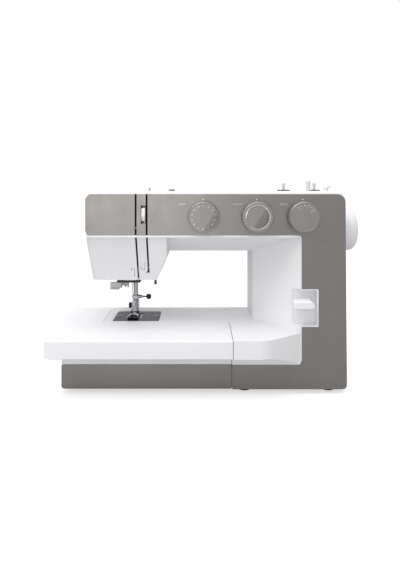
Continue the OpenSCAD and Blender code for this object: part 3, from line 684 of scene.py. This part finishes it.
def head_marks():
    """Threading arrows at the feet of the slots, and the mark beside the tension wheel."""
    hook = [(-72.0, 152.5), (-72.2, 149.4), (-73.4, 147.2), (-74.6, 146.2), (-76.0, 145.6)]
    printed("slot_hook", [ribbon(hook, [2.0, 1.9, 1.5, 1.0, 0.3], 0.0, 0.2)], "root",
            black_plastic, on_lean)
    bend = [turn((-79.0, 151.8), 2.4, 90 + 15 * k) for k in range(1, 13)]
    loop = [(-76.6, 156.4), (-76.6, 151.8), *bend, (-81.4, 152.2)]
    marks = [arrow((-90.4, 152.6), (-90.4, 140.6), 0.45, 1.7),
             arrow((-81.4, 152.2), (-81.4, 154.4), 0.4, 1.7),
             dot((-93.9, 150.6), 0.95),
             figure("3", 2.4, (-76.6, 158.4)),
             ribbon(loop, [0.4] * len(loop))]
    printed("threading_arrows", marks, "root", grey_print, on_lean)
    line = [(-84.2, POINTER_Z), (-79.9, POINTER_Z)]
    printed("tension_pointer", [ribbon(line, [0.5, 0.5], panel_front, 0.06)], "root",
            grey_print)


def thread_slots():
    """Black cheeks along both slots, and the thread guide at the left one's foot."""
    half, cheek, deep = SLOT_HALF - 0.05, 0.3, 11
    bm = bmesh.new()
    for x, low in ((SLOTS[0], head_low + 0.2), (SLOTS[1], SLOT_FOOT)):
        edge, skin, y = panel_front + 0.05, LEAN_TOP[0] - 0.1, lean_y(low)
        path = [(edge, panel_top - 0.3, 0), (edge, STRIP_Z, 0), (skin, STRIP_Z, 0),
                (skin, LEAN_TOP[1], 0), (y - 0.1, low, 0), (y + 9, low, 0),
                (LEAN_TOP[0] + deep, LEAN_TOP[1], 0), (LEAN_TOP[0] + deep, panel_top - 0.3, 0)]
        join(bm, slab(path, "X", x - half, x - half + cheek, 0, 1))
        join(bm, slab(path, "X", x + half - cheek, x + half, 0, 1))
        join(bm, block((x - half, y + 0.3, low), (x + half, y + 9, low + 1.2), 0))
    piece("thread_slot_channels", bm, "root", black_plastic)
    foot = block((SLOTS[0] - 1.9, LEAN_FOOT[0] - 0.5, head_low - 2.6),
                 (SLOTS[0] + 2.8, LEAN_FOOT[0] + 7, head_low + 0.5), 0.8, 3)
    piece("slot_foot_guide", foot, "root", black_plastic)


def tension_wheel():
    """Ribbed tension wheel with figures round its edge, on its washers and stud."""
    low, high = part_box("tension_dial")
    x0, x1 = low.x / MM, high.x / MM
    _, y, z = middle("tension_dial")
    r = (high.z - low.z) / 2 / MM
    bore, wide, ribs = 2.56, 5.3, 72
    bm = lathe([(bore, 0, 0), (r - 2.5, 0, 0), (r - 0.3, 0.5, 0.6), (r - 0.3, wide - 0.5, 0.6),
                (r - 2.5, wide, 0), (bore, wide, 0), (bore, 0, 0)],
               Vector((x0, y, z)) * MM, (1, 0, 0), 96)
    for k in range(ribs):
        a = math.tau * k / ribs
        rib = block((x0 + 3.4, -0.25, r - 0.6), (x1 - 0.5, 0.25, r - 0.02), 0.12, 1)
        bmesh.ops.rotate(rib, cent=(0, 0, 0), matrix=Matrix.Rotation(a, 3, "X"), verts=rib.verts)
        bmesh.ops.translate(rib, vec=Vector((0, y, z)) * MM, verts=rib.verts)
        join(bm, rib)
    piece("tension_wheel", bm, "tension_dial", white_shell, ("tension_dial",))
    marks = bmesh.new()
    for k in range(12):
        if k % 3 == 0:
            mark = block((x0 + 0.1, -0.12, -0.9), (x0 + 4.6, 0, 0.9), 0)
        else:
            mark = figure(str((k + 2) % 10), 1.9, (x0 + 1.8, 0))
        a = -math.tau * (k - 1.5) / 12
        bmesh.ops.translate(mark, vec=-Y * (r - 0.32) * MM, verts=mark.verts)
        bmesh.ops.rotate(mark, cent=(0, 0, 0), matrix=Matrix.Rotation(a, 3, "X"), verts=mark.verts)
        bmesh.ops.translate(mark, vec=Vector((0, y, z)) * MM, verts=mark.verts)
        join(marks, mark)
    piece("tension_wheel_figures", marks, "tension_dial", black_plastic)


thread_slots()
head_marks()
tension_wheel()


# ------------------------------------------------------------------ stitch dials

def dial_knob(node, face_r, crease):
    """A round knob with a flat face of radius face_r, one side of which may slope away.

    crease is (angle, offset, slope): the side beyond offset millimetres from the middle, towards
    angle degrees from +X, falls back by slope. Returns the knob's middle and a function that lays a
    printed point on its face.
    """
    low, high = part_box(node)
    x, face = middle(node)[0], low.y / MM
    r = (high.x - low.x) / 2 / MM
    back = panel_front - 0.3
    deep = back - face
    recess = 0.3
    bm = lathe([(0, 0, 0), (r - 2.4, 0, 0.4), (r - 2.4, 2.2, 0.8), (r - 0.1, 4.2, 1.2),
                (r - 0.75, deep - 0.6, 0.9), (r - 1.5, deep, 0.5), (face_r, deep, 0.15),
                (face_r - 0.2, deep - recess, 0)],
               Vector((x, back, dial_z)) * MM, (0, -1, 0), 96)
    disc = bmesh.new()
    bmesh.ops.create_circle(disc, cap_ends=True, segments=96, radius=(face_r - 0.2) * MM)
    bmesh.ops.rotate(disc, cent=(0, 0, 0), matrix=Matrix.Rotation(math.radians(90), 3, "X"),
                     verts=disc.verts)
    angle, offset, slope = crease or (0.0, face_r, 0.0)
    away = Vector((math.cos(math.radians(angle)), 0, math.sin(math.radians(angle))))
    if crease:
        bmesh.ops.bisect_plane(disc, geom=disc.verts[:] + disc.edges[:] + disc.faces[:],
                               plane_co=away * offset * MM, plane_no=away)

    def behind(point):
        """How far the sloping side lies behind the face at a point given from the middle."""
        return max(0.0, point.dot(away) - offset * MM) * slope

    rim = [e for e in disc.edges if e.is_boundary]
    wall = bmesh.ops.extrude_edge_only(disc, edges=rim)
    edge_verts = {v for v in wall["geom"] if isinstance(v, bmesh.types.BMVert)}
    for v in disc.verts:
        if v not in edge_verts:
            v.co.y += behind(v.co)
    bmesh.ops.translate(disc, vec=Vector((x, face + recess, dial_z)) * MM, verts=disc.verts)
    bmesh.ops.recalc_face_normals(disc, faces=disc.faces)
    if sum(f.normal.y * f.calc_area() for f in disc.faces) > 0:
        bmesh.ops.reverse_faces(disc, faces=disc.faces)
    join(bm, disc)
    join(bm, rod((x, back, dial_z), (x, high.y / MM, dial_z), 4.0, 0.4))
    piece(node + "_knob", bm, node, dial_grey, (node,), 24)
    hub = Vector((x, 0, dial_z)) * MM

    def lay(v):
        """Moves a printed point, drawn on Y = 0, onto the knob's face."""
        flat = Vector((v.co.x, 0, v.co.z)) - hub
        inner = flat.length < (face_r - 0.1) * MM
        v.co.y += face * MM + (recess * MM + behind(flat) if inner else 0.0)

    return (x, dial_z), lay


def dials():
    """The three stitch dials with their figures, and the white marks on the panel above them."""
    centre, lay = dial_knob("pattern_dial", 17.2, (-30, 8.4, 0.2))
    ring, steps = 13.9, 14
    marks = [figure(str(k + 1), 2.0, turn(centre, ring, 360 * k / steps), 360 * k / steps)
             for k in range(steps)]
    printed("pattern_dial_figures", marks, "pattern_dial", white_print, lay)

    centre, lay = dial_knob("length_dial", 13.2, (-32, 2.7, 0.24))
    ring = 14.6
    marks = [arc_line(centre, ring, -84, -58, 1.2), arc_line(centre, ring, -45, -8, 0.35),
             arc_line(centre, ring, 8, 40, 0.35), arc_line(centre, ring, 50, 85, 0.4),
             arc_line(centre, ring, 95, 172, 0.4)]
    marks += [dot(turn(centre, ring, a), 0.75) for a in (-90, -50, 45, 90)]
    marks += [figure("0", 2.0, turn(centre, ring, 0))]
    marks += [figure(str(k + 1), 1.9, turn(centre, ring, 181 + 11 * k), 181 + 11 * k) for k in range(4)]
    printed("length_dial_figures", marks, "length_dial", white_print, lay)

    centre, lay = dial_knob("width_dial", 17.4, None)
    ring = 14.3
    marks = [figure(str(k), 2.0, turn(centre, ring, 17 * k - 34), 17 * k - 34) for k in range(6)]
    for a, reach in ((-33, 0.5), (49, 1.4)):
        foot = turn(centre, ring - 3.2, a)
        zigzag = [foot + Vector((0.7 * k - 1.4, reach * (k % 2 - 0.5))) for k in range(5)]
        marks.append(ribbon(zigzag, [0.3] * 5))
    printed("width_dial_figures", marks, "width_dial", white_print, lay)

    above = dial_z + 21.3
    marks = [dot((middle(node)[0], above), 0.8, panel_front)
             for node in ("pattern_dial", "length_dial", "width_dial")]
    # Small signs in place of words: a row of stitches, a long stitch and a wide stitch
    z = panel_top - 12.4
    for x, step, rise in ((-28, 1.4, 1.0), (41, 3.0, 0.0), (97, 1.5, 2.2)):
        path = [(x + step * (k - 3), z + rise * (k % 2 - 0.5)) for k in range(7)]
        if rise:
            marks.append(ribbon(path, [0.38] * 7, panel_front))
        else:
            marks += [ribbon([p, (p[0] + 1.9, z)], [0.5, 0.5], panel_front) for p in path[1:5]]
    printed("panel_marks", marks, "root", white_print)


dials()


# ------------------------------------------------------------------ handwheel and lever

def handwheel():
    """White wheel with a fine joint line, a big soft edge and a dished face with a hub."""
    low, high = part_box("handwheel")
    y, z, r = (low.y + high.y) / 2, (low.z + high.z) / 2, (high.z - low.z) / 2 / MM
    start = low.x / MM + 1.8
    deep = high.x / MM - start
    bore = 5.06
    bm = lathe([(bore, 0, 0), (22, 0, 1), (22, -1.8, 0), (23.6, -1.8, 0.6), (r, 4.2, 3), (r, 13.8, 0.3),
                (r - 0.35, 14.1, 0.1), (r, 14.4, 0.3), (r - 0.3, deep, 8.8), (16.2, deep, 1.4),
                (14.6, deep - 2.9, 1.4), (7.5, deep - 2.9, 0.6), (6.6, deep - 1.6, 0.8),
                (0, deep - 1.3, 0)],
               Vector((start * MM, y, z)), (1, 0, 0), 96)
    seat = 192 - start
    join(bm, lathe([(bore, 0, 0), (bore, seat, 0), (0, seat, 0)],
                   Vector((start * MM, y, z)), (1, 0, 0), 96))
    piece("handwheel_rim", bm, "handwheel", white_shell, ("handwheel",), 40)


# (Y, Z) of the reverse lever's pivot
LEVER_PIVOT = (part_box("reverse_lever")[1].y / MM - 4.5, 111.0)


def lever():
    """Reverse lever: a rounded paddle with one corner cut away, on its neck and pivot."""
    low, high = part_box("reverse_lever")
    pivot_y, pivot_z = LEVER_PIVOT
    x0, x1 = 107.8, 133.6
    bm = slab([(x0, low.z / MM + 0.8, 2.4), (x1, low.z / MM + 0.8, 2.6), (x1, 113.6, 2.5),
               (x1 - 4.6, high.z / MM, 2.5), (x0, high.z / MM, 2.6)], "Y", low.y / MM, -51.5, 2.2, 4, 6)
    join(bm, block((120, -52.5, 108), (130, pivot_y, 114), 0.6))
    join(bm, rod((116.4, pivot_y, pivot_z), (x1, pivot_y, pivot_z), 4.5, 0.4))
    join(bm, rod((113, pivot_y, pivot_z), (137, pivot_y, pivot_z), 2.0, 0.2))
    piece("reverse_lever_paddle", bm, "reverse_lever", white_shell,
          ("reverse_lever",), 40)


def arc_shield(name, radius, low, high):
    """A thin curved plate about the lever's pivot, between two angles measured up from the front."""
    y, z = LEVER_PIVOT
    left, right = 117.2, 132.8
    turns = [math.radians(low + (high - low) * k / 12) for k in range(13)]
    outer = [(y - radius * math.cos(a), z + radius * math.sin(a), 0) for a in turns]
    inside = radius - 0.8
    inner = [(y - inside * math.cos(a), z + inside * math.sin(a), 0) for a in reversed(turns)]
    bm = slab([*outer, *inner], "X", left, right, 0)
    piece(name, bm, "reverse_lever", white_shell)


def lever_recess():
    """White back plate in the lever's recess, and the shields that keep its opening closed."""
    front, back = -43.4, -42.4
    (x0, x1), (z0, z1) = (111.5, 139.2), (84.5, 128.1)
    (left, right), (low, high) = (118.5, 131.5), (100.8, 114.7)
    bm = block((x0, front, z0), (left, back, z1), 0)
    join(bm, block((right, front, z0), (x1, back, z1), 0))
    join(bm, block((left, front, high), (right, back, z1), 0))
    join(bm, block((left, front, z0), (right, back, low), 0))
    piece("lever_recess_back", bm, "root", white_shell)
    arc_shield("lever_outer_shield", 23.4, -33, 31)
    arc_shield("lever_inner_shield", 11.2, -50, 44)


def seam_strip():
    """White strip under the joint between the top cover and the head's end cover."""
    bm = slab([(-145.3, 238, 0), (-141, 238, 0), (-141, 247.2, 0), (-145.3, 247.2, 0.8)],
              "Y", -50.5, 74, 0.3)
    piece("seam_strip", bm, "root", white_shell)


handwheel()
lever()
lever_recess()
seam_strip()


# ------------------------------------------------------------------ needle and presser foot

NEEDLE = (-96.0, 24.4)                             # (X, Y) of the needle
PRESSER = (-98.0, 38.0)                            # (X, Y) of the presser bar
CLAMP_Z = 102.6                                    # height of the needle clamp's screw
TIP_Z = 76.5                                       # height of the needle's point at rest


def needle_bar():
    """Plated bar with its clamp, thread wire, screw and needle."""
    x, y = NEEDLE
    finished("needle_bar", bright_steel, 0.3)
    bm = slab([(x - 5, y - 4.1, 2.2), (x + 4.4, y - 4.1, 1.4), (x + 4.4, y + 4.1, 1.4),
               (x - 5, y + 4.1, 2.2)], "Z", CLAMP_Z - 3, CLAMP_Z + 2.4, 0.8, 3)
    join(bm, lathe([(0, 0, 0), (2.7, 0, 0.4), (2.7, 1.2, 0.3), (1.3, 6.6, 0.2), (0, 6.6, 0)],
                   Vector((x + 3.6, y, CLAMP_Z)) * MM, (1, 0, 0), 40))
    piece("needle_clamp_body", bm, "needle_bar", bright_steel, ("needle_clamp",))
    start = Vector((x + 9.6, y, CLAMP_Z)) * MM
    bm = lathe([(0, 0, 0), (0.95, 0, 0.1), (0.95, 5, 0), (2.6, 5.2, 0.6), (3.7, 7.2, 1.2),
                (3.7, 9.6, 1.2), (2.4, 11.8, 0.8), (1.2, 11.8, 0.1), (1.0, 11.4, 0), (0, 11.4, 0)],
               start, (1, 0, 0), 64)
    knurl(bm, start, 3.6, 0.16)
    piece("clamp_screw_head", bm, "needle_bar", black_plastic, ("clamp_screw",))
    bm = lathe([(0, 0, 0), (0.42, 3.4, 0.3), (0.5, 14, 0.3), (0.99, 16, 0.3), (0.99, 28.4, 0.2),
                (0, 28.4, 0)], Vector((x, y, TIP_Z)) * MM, (0, 0, 1), 24)
    piece("needle_blade", bm, "needle_bar", ground_steel, ("needle",))
    bm = wire([(-99.2, 22.5, 124.5), (-100.0, 21.0, 121), (-100.2, 20.4, 112), (-99.4, 20.2, 104.4)],
              0.5, 12)
    piece("needle_thread_wire", bm, "needle_bar", ground_steel)


def foot():
    """Presser bar, foot holder with its thumbscrew, the foot with its bridge, and the lifter."""
    x, y = PRESSER
    finished("presser_bar", bright_steel, 0.3)
    bm = merged("foot_holder")
    far = [v for v in bm.verts if v.co.x / MM < x - 4.5]
    bmesh.ops.delete(bm, geom=far, context="VERTS")
    bmesh.ops.holes_fill(bm, edges=[e for e in bm.edges if e.is_boundary])
    round_edges(bm, 0.9 * MM, 3, 40)
    join(bm, rod((x - 6.2, y, 87), (x - 4.2, y, 87), 2.0, 0.2))
    join(bm, rod((x - 2.0, y - 5.5, 92), (x - 2.0, y - 5.9, 92), 1.1, 0.1))
    piece("foot_holder_shank", bm, "presser_bar", bright_steel, ("foot_holder",))
    centre = Vector((x - 5.9, y, 87)) * MM
    bm = lathe([(0, 0, 0), (4.2, 0, 0.6), (4.2, 4.0, 1.2), (1.5, 4.0, 0.2), (1.2, 3.6, 0), (0, 3.6, 0)],
               centre, (-1, 0, 0), 64)
    knurl(bm, centre, 4.1, 0.18)
    piece("foot_thumbscrew", bm, "presser_bar", black_plastic)
    # The foot is metal, but it gets the black moulding all over: painted dark reflection in place of
    # what its sole would reflect.
    finished("presser_foot", black_plastic, 0.4, 2)
    roof = [(-104.2, 76.7, 0), (-104.2, 78.4, 0.8), (x, 82.1, 2.2), (-91.8, 78.4, 0.8),
            (-91.8, 76.7, 0), (-94.2, 76.7, 0.6), (x, 79.4, 2.0), (-101.8, 76.7, 0.6)]
    bm = slab(roof, "Y", 13.5, 22, 0.3, 2)
    join(bm, rod((-103.2, 28, 79.6), (-92.8, 28, 79.6), 1.1, 0.2))
    piece("foot_bridge", bm, "presser_bar", bright_steel)
    finished("presser_lifter", black_plastic, 0.9, 3)


def threader():
    """Needle threader: a pale lever, its black pin, and the linkage beside the needle bar."""
    bm = slab([(-131.6, 114.2, 1.0), (-119.5, 113.1, 1.6), (-115.9, 118.2, 1.0), (-115.9, 123.2, 0.5),
               (-131.6, 123.2, 0.8)], "Y", 21, 24, 0.5, 3)
    join(bm, slab([(-131.6, 113.1, 0.8), (-118.5, 113.1, 1.2), (-118.5, 114.6, 0.2),
                   (-131.6, 114.6, 0.4)], "Y", 19.5, 27, 0.4, 2))
    piece("threader_lever", bm, "needle_threader", pale_plastic, ("needle_threader",))
    bm = rod((-118, 30, 114), (-118, 30, 206), 1.7, 0.3)
    join(bm, block((-116.0, 22.5, 118.0), (-105.6, 25.5, 123.6), 0.5))
    join(bm, block((-115.6, 21.6, 119.0), (-112.4, 23, 123.2), 0.4))
    join(bm, rod((-110.4, 24, 116.4), (-110.4, 24, 123.4), 1.5, 0.3))
    join(bm, rod((-106.8, 24, 115.6), (-106.8, 24, 122), 0.9, 0.2))
    join(bm, block((-118.6, 24, 119), (-116, 31, 122.4), 0.4))
    piece("threader_linkage", bm, "needle_threader", ground_steel)
    bm = rod((-120.1, 25.8, 116.8), (-120.1, 25.8, 129), 1.75, 0.4)
    join(bm, block((-121.6, 21.5, 120.5), (-118.8, 26, 123.0), 0.4))
    piece("threader_pin", bm, "needle_threader", black_plastic)
    bm = block((-121.3, 14.5, 123.8), (-89, 19.6, 126.4), 0.5)
    join(bm, rod((-112, 17, 126), (-112, 17, 137), 2.2, 0.2))
    join(bm, rod((-92.5, 17, 126), (-92.5, 17, 137), 2.0, 0.2))
    piece("threader_bracket", bm, "root", black_plastic)


def plate():
    """Satin needle plate with fine guide lines, and the feed dog below it."""
    bm = merged("needle_plate")
    round_edges(bm, 0.3 * MM, 2, 40)
    piece("needle_plate_finished", bm, "root", plate_steel, ("needle_plate",))
    x, top = NEEDLE[0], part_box("needle_plate")[1].z / MM
    lines = bmesh.new()
    for reach in (10, 15, 20, 25):
        join(lines, block((x + reach - 0.15, 6, top - 0.2), (x + reach + 0.15, 43, top + 0.02), 0))
    for y in (12, 36):
        join(lines, block((x + 9, y - 0.15, top - 0.2), (x + 26, y + 0.15, top + 0.02), 0))
    piece("plate_guide_lines", lines, "root", grey_print)
    finished("feed_dog", ground_steel, 0)


needle_bar()
foot()
threader()
plate()


# ------------------------------------------------------------------ fittings on top

def upright(name, node, path, mat, steps=48):
    """A turned piece that stands on a node's axis; heights in the path are world heights."""
    low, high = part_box(node)
    centre = Vector(((low.x + high.x) / 2, (low.y + high.y) / 2, 0))
    bm = lathe(path, centre, (0, 0, 1), steps)
    piece(name, bm, node_body(node), mat, (node,))


def top_fittings():
    """Spool pins and felts, the bobbin winder, its stop, the tension discs and the wire guide."""
    for side in ("left", "right"):
        upright(f"spool_pin_{side}_post", f"spool_pin_{side}",
                [(0, 198, 0), (4, 198, 0.4), (4, 202, 0.5), (2.0, 202, 0.2), (1.7, 256, 1),
                 (2.5, 260.4, 0.8), (2.5, 262.3, 0.7), (0, 262.3, 0)], pale_plastic)
    upright("winder_spindle_post", "winder_spindle",
            [(0, 228, 0), (9, 228, 0.4), (9, 232, 0.4), (2.95, 232, 0.3), (2.95, 259.8, 0.1),
             (2.5, 260.2, 0.1), (2.95, 260.6, 0.1), (2.95, 264.6, 1.1), (0, 264.6, 0)],
            pale_plastic)
    upright("winder_stop_cap", "winder_stop",
            [(0, 250.8, 0), (2.9, 250.8, 0.1), (2.9, 254.6, 0.6), (5.8, 255.4, 0.7),
             (5.8, 258.1, 1.0), (0, 258.1, 0)], white_shell)
    upright("tension_discs", "winder_tension_disc",
            [(0, 250.85, 0), (1.2, 250.85, 0), (1.2, 252.3, 0.1), (4.6, 251.9, 0.1), (4.7, 252.3, 0.1),
             (3.2, 252.9, 0.3), (3.2, 253.7, 0.4), (0, 253.7, 0)], bright_steel)
    x, y, _ = middle("winder_tension_disc")
    bm = lathe([(1.2, 250.8, 0), (4.2, 250.8, 0.3), (4.1, 251.7, 0.3), (1.2, 251.7, 0)],
               Vector((x, y, 0)) * MM, (0, 0, 1), 48)
    piece("tension_disc_base", bm, "root", black_plastic)
    outline = [(-30.4, 250.9), (-30.4, 254.2), (-29.2, 255.0), (-21, 255.0), (-19.7, 254.2),
               (-19.7, 250.9)]
    bm = wire([(-71.4, y, z) for y, z in outline], 0.55, 14)
    piece("top_guide_wire", bm, "root", bright_steel, ("top_thread_guide",))
    finished("spool_felts", felt, 0.3)


top_fittings()


# ------------------------------------------------------------------ back, side and inside

def back_and_side():
    """Case screws, the power inlet with its three pins, and the switch."""
    finished("case_screws", ground_steel, 0.15)
    finished("power_inlet", black_plastic, 0.4)
    finished("power_switch", black_plastic, 0.5)
    _, y, z = middle("power_inlet")
    bm = bmesh.new()
    for dz in (-8, 0, 8):
        join(bm, rod((162, y, z + dz), (170, y, z + dz), 1.2, 0.4, 20))
    piece("inlet_pins", bm, "root", bright_steel)


def inside():
    """Parts that the covers hide, each in its own metal or plastic."""
    for node, mat in (("arm_frame", cast_metal), ("arm_shaft", ground_steel),
                      ("motor_pulley", ground_steel), ("lower_shaft", ground_steel),
                      ("shaft_bushes", bronze), ("needle_bar_frame", cast_metal),
                      ("tension_unit", ground_steel), ("shuttle_race", ground_steel),
                      ("shuttle_hook", bright_steel), ("bobbin_case", bright_steel),
                      ("take_up_lever", bright_steel)):
        finished(node, mat, 0.25, 1)
    finished("motor", black_plastic, 0.6)
    finished("motor_belt", rubber, 0)
    finished("timing_belt", rubber, 0)
    finished("bobbin", pale_plastic, 0.2)
    finished("stitch_cam_unit", pale_plastic, 0.4)
    finished("winder_arm", black_plastic, 0.5)
    finished("sewing_lamp", lamp_lens, 0.8)


back_and_side()
inside()
